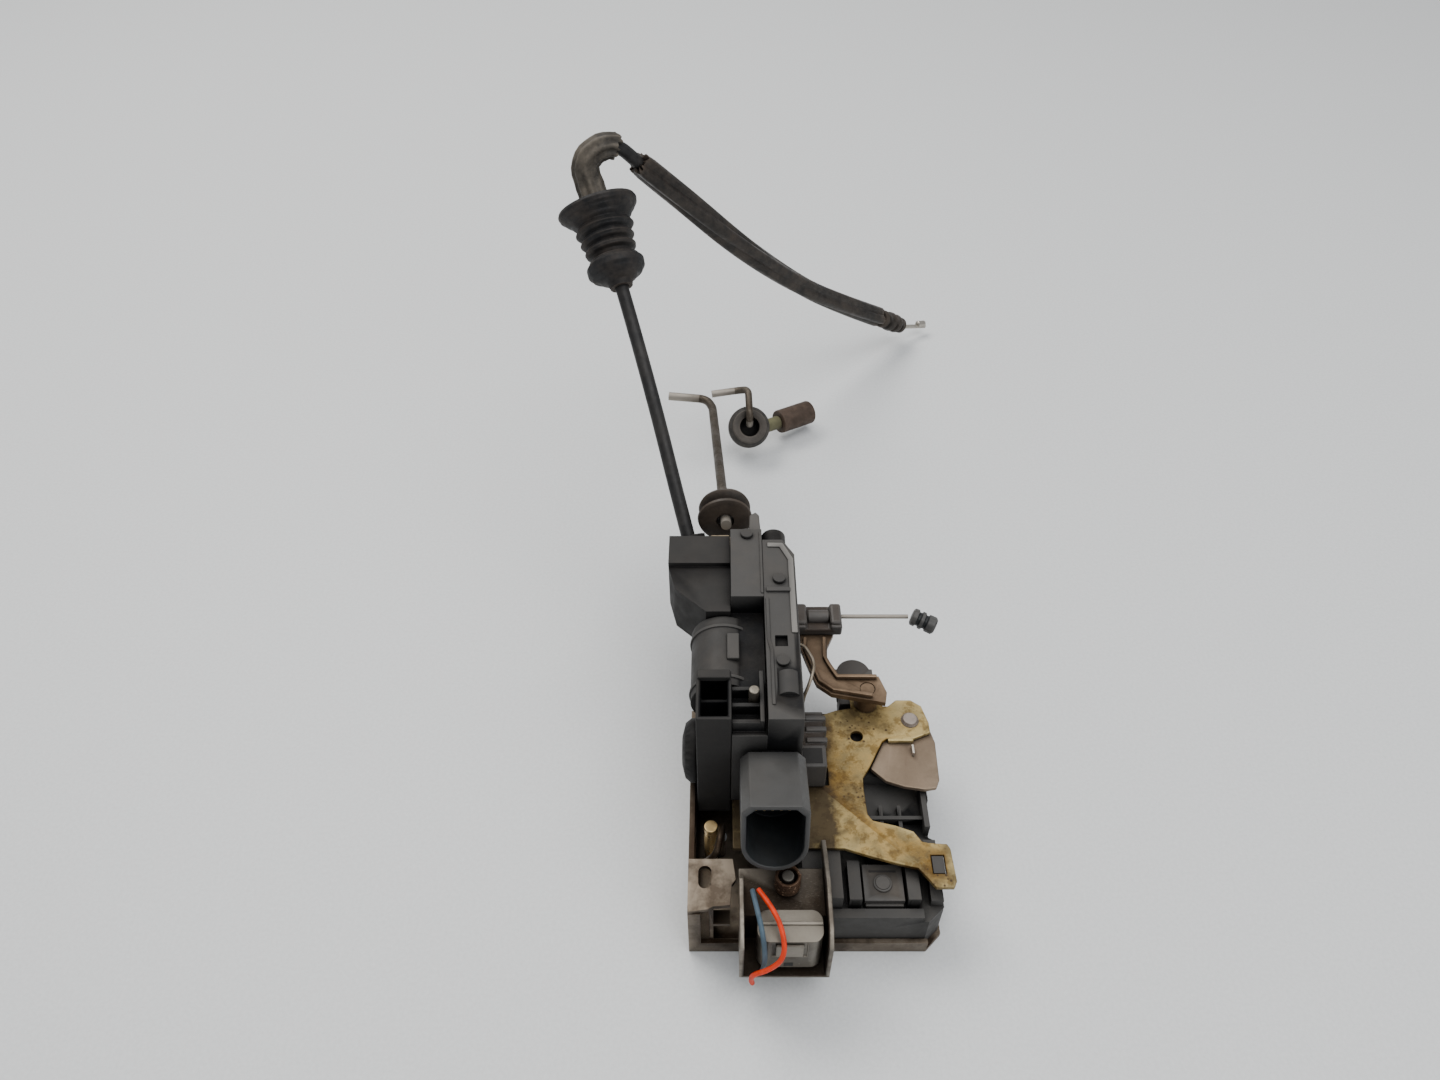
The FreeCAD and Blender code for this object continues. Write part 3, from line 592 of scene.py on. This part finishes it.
# ------------------------------------------------------------------ Bowden cable
CABLE_ROUTE = [
    (-50, 97, 62), (-56, 114, 77), (-66, 146, 101), (-79, 186, 126), (-94, 225, 157),
    (-99, 229, 171), (-85.5, 233, 178.5), (-73, 239, 163), (-54, 251, 139), (-28, 268, 106),
    (5, 292, 68), (34, 313, 42), (62, 332, 19),
]
SHEATH_THICKNESS = 6.0
sheath = spline_curve("bowden_sheath_line", CABLE_ROUTE, sheath_black, SHEATH_THICKNESS)
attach(sheath, "case")
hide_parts("bowden_sheath")
line = Line(read_line(sheath))

# bellows: radius at each height above its small end
BELLOWS_SETBACK = 8
BELLOWS_HEIGHT = 40.5
run = (mm(*CABLE_ROUTE[4]) - mm(*CABLE_ROUTE[3])).normalized()
bellows_start = line.nearest(mm(*CABLE_ROUTE[3]) + run * BELLOWS_SETBACK * MM)
bellows_stop = bellows_start + BELLOWS_HEIGHT * MM
BELLOWS = [
    (0, 5.0), (2, 5.6), (4, 8.4), (6, 11.4), (8, 12.8), (10.5, 12.9), (12.5, 11.4), (14, 9.2),
    (15.2, 9.0), (16.6, 11.2), (17.6, 11.5), (18.6, 10.6), (19.8, 9.6), (21, 11.4), (22.2, 12.2),
    (23.2, 11.6), (24.4, 10.5), (25.8, 12.2), (27, 13.2), (28.2, 12.6), (29.4, 11.8), (31.5, 13.6),
    (34, 16.0), (35.6, 17.5), (37.2, 17.9), (38.6, 17.4), (39.4, 15.5), (40.0, 13.4), (40.5, 9.0),
]


def bellows_radius(t, angle):
    height = t * BELLOWS_HEIGHT
    for (h0, r0), (h1, r1) in zip(BELLOWS, BELLOWS[1:]):
        if height <= h1:
            u = (height - h0) / (h1 - h0)
            u = u * u * (3 - 2 * u)  # rounds the folds
            return (r0 + (r1 - r0) * u) * (1 + 0.012 * math.sin(3 * angle + height * 0.4))
    return BELLOWS[-1][1]


bellows = along("cable_bellows_skin", line, bellows_start, bellows_stop, 162, bellows_radius, rubber,
                sides=72, replaces=["cable_bellows"])

# fluted sleeve round the tight bend, torn at its far end
bend_start = bellows_stop - 1 * MM
bend_stop = line.nearest(mm(-84.5, 233, 176.5)) + 2.5 * MM


def bend_radius(t, angle):
    flute = 0.50 * math.cos(8 * angle) + 0.16 * math.cos(3 * angle + 5 * t)
    taper = 0.9 * t
    return 6.1 + flute - taper + 0.12 * math.sin(34 * t)


bend = along("bend_sleeve_skin", line, bend_start, bend_stop, 18, bend_radius, sleeve_rubber,
             sides=96, replaces=["bend_sleeve"], tear=(0, 2.6))

# long sleeve of twisted strands, torn at both ends
long_start = line.nearest(mm(-75.5, 237.6, 166.5))
long_stop = line.length() - 9 * MM
LONG_STRANDS = 4


def long_radius(t, angle):
    twist = 9.0 * t
    strand = abs(math.cos((LONG_STRANDS * angle + twist) / 2))
    edge = 0.95 if t < 0.03 else 1.0
    fold = 0.10 * math.cos(9 * angle - 3 * t)
    return (4.15 + 1.65 * strand + 0.15 * math.cos(3 * angle - 5 * t) + fold) * edge


long_sleeve = along("long_sleeve_skin", line, long_start, long_stop, 60, long_radius, long_rubber,
                    sides=96, replaces=["long_sleeve"], tear=(2.2, 1.6))

# end fitting, inner wire and nipple
tail = (mm(*CABLE_ROUTE[-1]) - mm(*CABLE_ROUTE[-2])).normalized()
fitting = turned("cable_end_fitting_skin",
                 [(3.3, -8), (4.6, -7.6), (5.2, -6.2), (5.2, -4.6), (4.3, -3.8), (4.2, -2.2), (5.2, -1.4),
                  (5.6, 0.6), (5.6, 2.4), (4.4, 3.2), (4.2, 4.6), (5.2, 5.4), (5.4, 7.4), (5.1, 8.8),
                  (3.9, 9.6), (3.8, 10.4), (4.6, 11.2), (4.6, 13.2), (3.2, 14.4), (2.0, 16.0)],
                 CABLE_ROUTE[-1], tail, long_rubber, replaces=["cable_end_fitting"])
dress("cable_inner_wire", wire_steel)
wire_low, wire_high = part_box("cable_inner_wire")
nipple = turned("cable_nipple", [(1.5, 0), (2.0, 0.4), (2.0, 5.6), (1.5, 6)],
                tuple(wire_low.lerp(wire_high, 0.62) / MM), (0.70, 0.46, -0.25), wire_steel,
                sides=24)

# the motor's two leads
LEAD_THICKNESS = 1.8
RED_ROUTE = [(-25.5, -43, 42.5), (-21, -50, 44), (-17.5, -58, 42.5), (-17, -64, 36), (-22, -65.3, 29.5),
             (-29, -65, 24), (-27.5, -64.5, 17)]
BLUE_ROUTE = [(-27.5, -43, 42), (-26.3, -50, 44), (-24.5, -57.5, 42), (-23.5, -62, 35), (-23.5, -62.8, 27),
              (-24.5, -62.2, 20)]
for label, route, material, node in (("red_lead", RED_ROUTE, red_skin, "red_wire"),
                                     ("blue_lead", BLUE_ROUTE, blue_skin, "blue_wire")):
    lead = spline_curve(label, route, material, LEAD_THICKNESS)
    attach(lead, "case")
    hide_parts(node)

# ------------------------------------------------------------------ CAD solids with their edges broken
# node, material, width of the broken edge
SKINS = [
    ("face_plate", case_steel, 0.45), ("latch_housing", housing_black, 0.5),
    ("striker_buffer", buffer_grey, 0.5), ("back_plate", chromate, 0.4), ("claw", dark_metal, 0.5),
    ("claw_overmould", black, 0.3), ("pawl", dark_metal, 0.5), ("claw_pin", dark_metal, 0.3),
    ("pawl_pin", dark_metal, 0.3), ("release_sector", sector_steel, 0.4),
    ("sector_rivet", rivet_metal, 0.4), ("outer_handle_lever", lever_steel, 0.6),
    ("outer_lever_pin", lever_steel, 0.4), ("lever_clip", clip_brown, 0.9),
    ("housing_tongue", clip_brown, 1.4), ("module_cover_shell", black, 0.8),
    ("module_main_shell", black, 0.8), ("motor_cover_box", box_black, 0.5),
    ("cable_socket", box_black, 0.8), ("module_peg", buffer_grey, 0.6),
    ("lever_coupling", clip_brown, 0.5), ("connector_shell", connector_grey, 0.5),
    ("key_cylinder_coupler", box_black, 0.6), ("inner_handle_lever", case_steel, 0.3),
    ("inner_lever_pin", case_steel, 0.3), ("brass_stud", brass, 0.4),
    ("motor_bracket", bracket_steel, 0.4), ("deadlock_motor", can_steel, 0.5),
    ("motor_end_cap", box_black, 0.4), ("pivot_post", screw_dark, 0.5), ("clip_arm", black, 0.6),
    ("shell_pin", can_steel, 0.5), ("module_screws", black, 0.3), ("knob_ring", knob_rubber, 0.8),
    ("knob_neck", neck_green, 0.6), ("knob_sleeve", knob_brown, 0.7), ("lock_gear", black, 0.2),
    ("lock_motor", can_steel, 0.5), ("gear_pin", can_steel, 0.2),
]
for node, material, width in SKINS:
    skin(node, material, width)
for node, material in (("claw_spring", wire_steel), ("pawl_spring", wire_steel),
                       ("lever_return_spring", spring_steel), ("pull_wire", zinc), ("lock_rod", zinc),
                       ("knob_arm", zinc), ("steel_hook", case_steel),
                       ("post_coil_spring", rusty_spring), ("connector_terminals", brass)):
    dress(node, material)

# ------------------------------------------------------------------ finer pieces
# channel edges and clip layers of the outer lever
CHANNEL_WIDTH, CHANNEL_FOOT, CHANNEL_TOP = 1.5, 42.3, 44.3
CHANNEL_EDGES = {
    "left": [(-3.6, 67), (-4.0, 62), (-1.6, 53.6), (1.2, 45.2), (6.3, 40.8), (21.5, 37.8)],
    "right": [(4.3, 67), (4.0, 62), (3.8, 57.2), (5.3, 53.2), (8.2, 47.1), (24, 47)],
}
for label, path in CHANNEL_EDGES.items():
    bead("lever_channel_" + label, path, CHANNEL_WIDTH, CHANNEL_FOOT, CHANNEL_TOP, lever_steel,
         "outer_lever")
for label, x_low, x_high in (("left", -8.4, -2.6), ("right", 6.8, 11.6)):
    slab("clip_layer_" + label, (x_low, 70.2, 44.4), (x_high, 81, 49.4), clip_brown, "outer_lever",
         bevel=1.5)
turned("clip_roller", [(2.2, 0), (2.9, 0.7), (2.9, 8.7), (2.2, 9.4)], (-2.6, 75.6, 46.6), (1, 0, 0),
       clip_brown, "outer_lever")
turned("pull_wire_ferrule_skin",
       [(2.8, 0), (3.6, 0.5), (3.7, 2.2), (2.9, 2.7), (2.9, 3.5), (3.7, 4.0), (3.7, 5.2), (2.9, 5.7),
        (2.9, 6.5), (3.7, 7.0), (3.7, 9.8), (3.0, 10.6)],
       (41.4, 77, 45.6), (10.5, -4.2, -2.6), connector_grey, body_of_node["pull_wire_ferrule"],
       replaces=["pull_wire_ferrule"], lobes=8, lobe_depth=0.02)

# foam block beside the cable: a crowned, lumpy cushion pressed against the socket
FOAM_CUTS = 14
FOAM_SQUARENESS = 6
FOAM_SIZE = 0.95  # share of the CAD block's size
FOAM_LUMP = 0.05
foam_low, foam_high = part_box("felt_pad")
foam_middle, foam_half = (foam_low + foam_high) / 2, (foam_high - foam_low) / 2
work = bmesh.new()
bmesh.ops.create_cube(work, size=2.0)
bmesh.ops.subdivide_edges(work, edges=work.edges[:], cuts=FOAM_CUTS, use_grid_fill=True)
for vert in work.verts:
    spread = sum(abs(c) ** FOAM_SQUARENESS for c in vert.co) ** (1 / FOAM_SQUARENESS)
    place = vert.co / spread
    lump = noise.noise(place * 2.3) + 0.5 * noise.noise(place * 6.1)
    place *= FOAM_SIZE + FOAM_LUMP * lump
    vert.co = foam_middle + Vector(a * b for a, b in zip(place, foam_half))
foam_mesh = mesh_from(work, "felt_pad_skin")
smooth(foam_mesh)
foam_pad = piece("felt_pad_skin", foam_mesh, foam, body_of_node["felt_pad"],
                 ["felt_pad"])

# grommet of the lock rod
turned("rod_clip_skin",
       [(3.8, 0), (9.8, 0), (11.2, 0.6), (11.5, 1.6), (10.2, 2.6), (8.0, 3.2), (7.3, 4.2), (7.4, 5.8),
        (8.4, 6.6), (10.4, 7.2), (11.0, 8.0), (10.6, 9.2), (9.2, 9.6), (3.8, 9.6), (3.8, 0)],
       (-36.4, 107.8, 70.6), (-2, 120, -8), long_rubber,
       replaces=["rod_clip"], lobes=3, lobe_depth=0.018)

# ribbed neck of the knob, the rim and closed bottom of its cup, the bottom dark as painted shade, and the
# open box of the coupling with a thin dark sheet of painted shade
RING_CENTRE = Vector((-23.5, 236.5, 15))
RING_AXIS = Vector((0.1, -0.7, 0.7)).normalized()
CUP_FLOOR = 0.6
turned("knob_stem", [(2.6, 0), (3.5, 0.6), (3.5, 2.0), (2.9, 3.0), (2.9, 4.6), (3.5, 5.6)],
       (-18.0, 238.3, 13.0), (26, 17, -3), neck_green, body_of_node["knob_neck"])
turned("cup_rim", [(5.3, 8.2), (6.4, 8.9), (8.6, 8.9), (9.2, 8.3), (5.3, 8.2)], tuple(RING_CENTRE),
       RING_AXIS, knob_rubber, body_of_node["knob_ring"])
# painted shade: the cup's floor in dark plastic, darker than the rubber of the knob
turned("knob_cup_painted_shade", [(5.2, 0), (5.6, 0.3), (5.6, 1.3), (5.0, 1.5)],
       tuple(RING_CENTRE + RING_AXIS * CUP_FLOOR), RING_AXIS, box_black, body_of_node["knob_ring"])
# painted shade: a thin dark sheet over the open box of the coupling
slab("coupling_mouth_painted_shade", (-7.8, 4.4, 46.6), (-0.5, 11.0, 47.15), box_black,
     body_of_node["lever_coupling"], bevel=0.15)

# locking module: ridge, seams and rubbed corner
RIDGE_FOOT = 83.9  # just below the module's top face
bead("cover_ridge", [(-11.2, 36), (-11.2, 73), (-14.6, 80.6), (-20, 80.8)], 2.2, RIDGE_FOOT, 84.6,
     worn_black, bevel=0.3)
bead("cover_groove_edge", [(-19.9, 4), (-19.9, 28), (-20.8, 33), (-20.8, 53)], 1.2, RIDGE_FOOT, 84.5,
     black, bevel=0.25)
bead("shell_seam", [(-22.6, 55.5), (-22.6, 88)], 1.0, RIDGE_FOOT, 84.4, black, bevel=0.2)
for label, y in (("near", 22.0), ("far", 45.5)):
    turned("bulge_seam_" + label,
           [(11.7, 0), (12.5, 0.2), (12.6, 0.8), (12.5, 1.4), (11.7, 1.6), (11.7, 0)],
           (-37.5, y, 64), (0, 1, 0), black, sides=96)
slab("bulge_tab", (-36, 30, 75.2), (-31.5, 42, 77), black, bevel=0.5)
slab("box_top_step", (-46.6, 14.9, 82.8), (-35.0, 18.6, 85.2), box_black, bevel=0.5)

# deadlock motor: panel, seam and vent, the vent a thin dark sheet of painted shade
slab("can_panel", (-19.8, -60.1, 27.7), (-10.2, -58.8, 35.8), can_steel, bevel=0.5)
# painted shade: a thin dark sheet where the vent is open
slab("can_vent_painted_shade", (-16.6, -59.62, 19.4), (-13.4, -59.3, 21.8), box_black, bevel=0.1)
slab("can_strap", (-25.9, -53.6, 37.8), (-3.6, -52.4, 38.5), can_steel, bevel=0.3)

# buffer seat: open rail ends and slot, each a thin dark sheet of painted shade, and button rim
for label, x in (("left", 7.5), ("right", 28.4)):
    slab("rail_mouth_painted_shade_" + label, (x + 0.9, -39.12, 20.9), (x + 3.7, -38.8, 26.0), box_black, bevel=0.1)
# painted shade: a thin dark sheet where the slot is open
slab("buffer_slot_painted_shade", (15.4, -27.6, 24.9), (25.2, -26.9, 25.1), box_black, bevel=0.05)
slab("buffer_lip", (13.4, -39.6, 20.2), (27.1, -38.4, 23.2), buffer_grey, bevel=0.4)
turned("buffer_button_rim", [(2.5, 0), (3.2, 0.05), (3.3, 0.5), (2.8, 0.75), (2.5, 0.6), (2.5, 0)],
       (20, -32, 25.05), (0, 0, 1), buffer_grey)

# back plate's lip over the sector, and the sector's upright tab
slab("plate_lip", (27.4, 24.4, 29.9), (37.4, 25.6, 31.9), chromate, bevel=0.4)
slab("sector_tab", (36.2, 18.4, 29.9), (37.1, 22.4, 32.6), spring_steel, "sector", bevel=0.25)

# ------------------------------------------------------------------ floor, light and world
# sizes and places of the floor and the lamps are in metres
FLOOR_HALF = 6
work = bmesh.new()
bmesh.ops.create_grid(work, x_segments=2, y_segments=2, size=FLOOR_HALF)
floor_mesh = mesh_from(work, "floor")
floor_paint = Paint("floor_paint")
speck = floor_paint.noise(700, 4)
floor_tone = floor_paint.mix(floor_paint.ramp(speck, 0.3, 0.7), (0.60, 0.61, 0.61), (0.66, 0.67, 0.67))
floor = add_object("floor", floor_mesh, floor_paint.finish(floor_tone, 0.55))


def area_light(name, at, target, width, power, tint=(1, 1, 1)):
    data = bpy.data.lights.new(name, "AREA")
    data.shape = "RECTANGLE"
    data.size = width[0]
    data.size_y = width[1]
    data.energy = power
    data.color = tint
    obj = bpy.data.objects.new(name, data)
    obj.location = at
    obj.rotation_euler = (Vector(target) - Vector(at)).to_track_quat("-Z", "Y").to_euler()
    scene.collection.objects.link(obj)


area_light("key_light", (-0.7, 0.9, 1.5), (0, 0.05, 0.03), (1.2, 0.8), 26, (1, 0.98, 0.95))
area_light("top_light", (0.3, -0.1, 1.6), (0, 0.05, 0.03), (1.6, 1.2), 18)
area_light("fill_light", (0.9, -0.9, 0.9), (0, 0.0, 0.03), (1.0, 0.8), 8, (0.96, 0.98, 1))
world = bpy.data.worlds.new("world")
world.use_nodes = True
sky = world.node_tree.nodes["Background"]
sky.inputs["Color"].default_value = (0.92, 0.95, 1, 1)
sky.inputs["Strength"].default_value = 0.42
scene.world = world
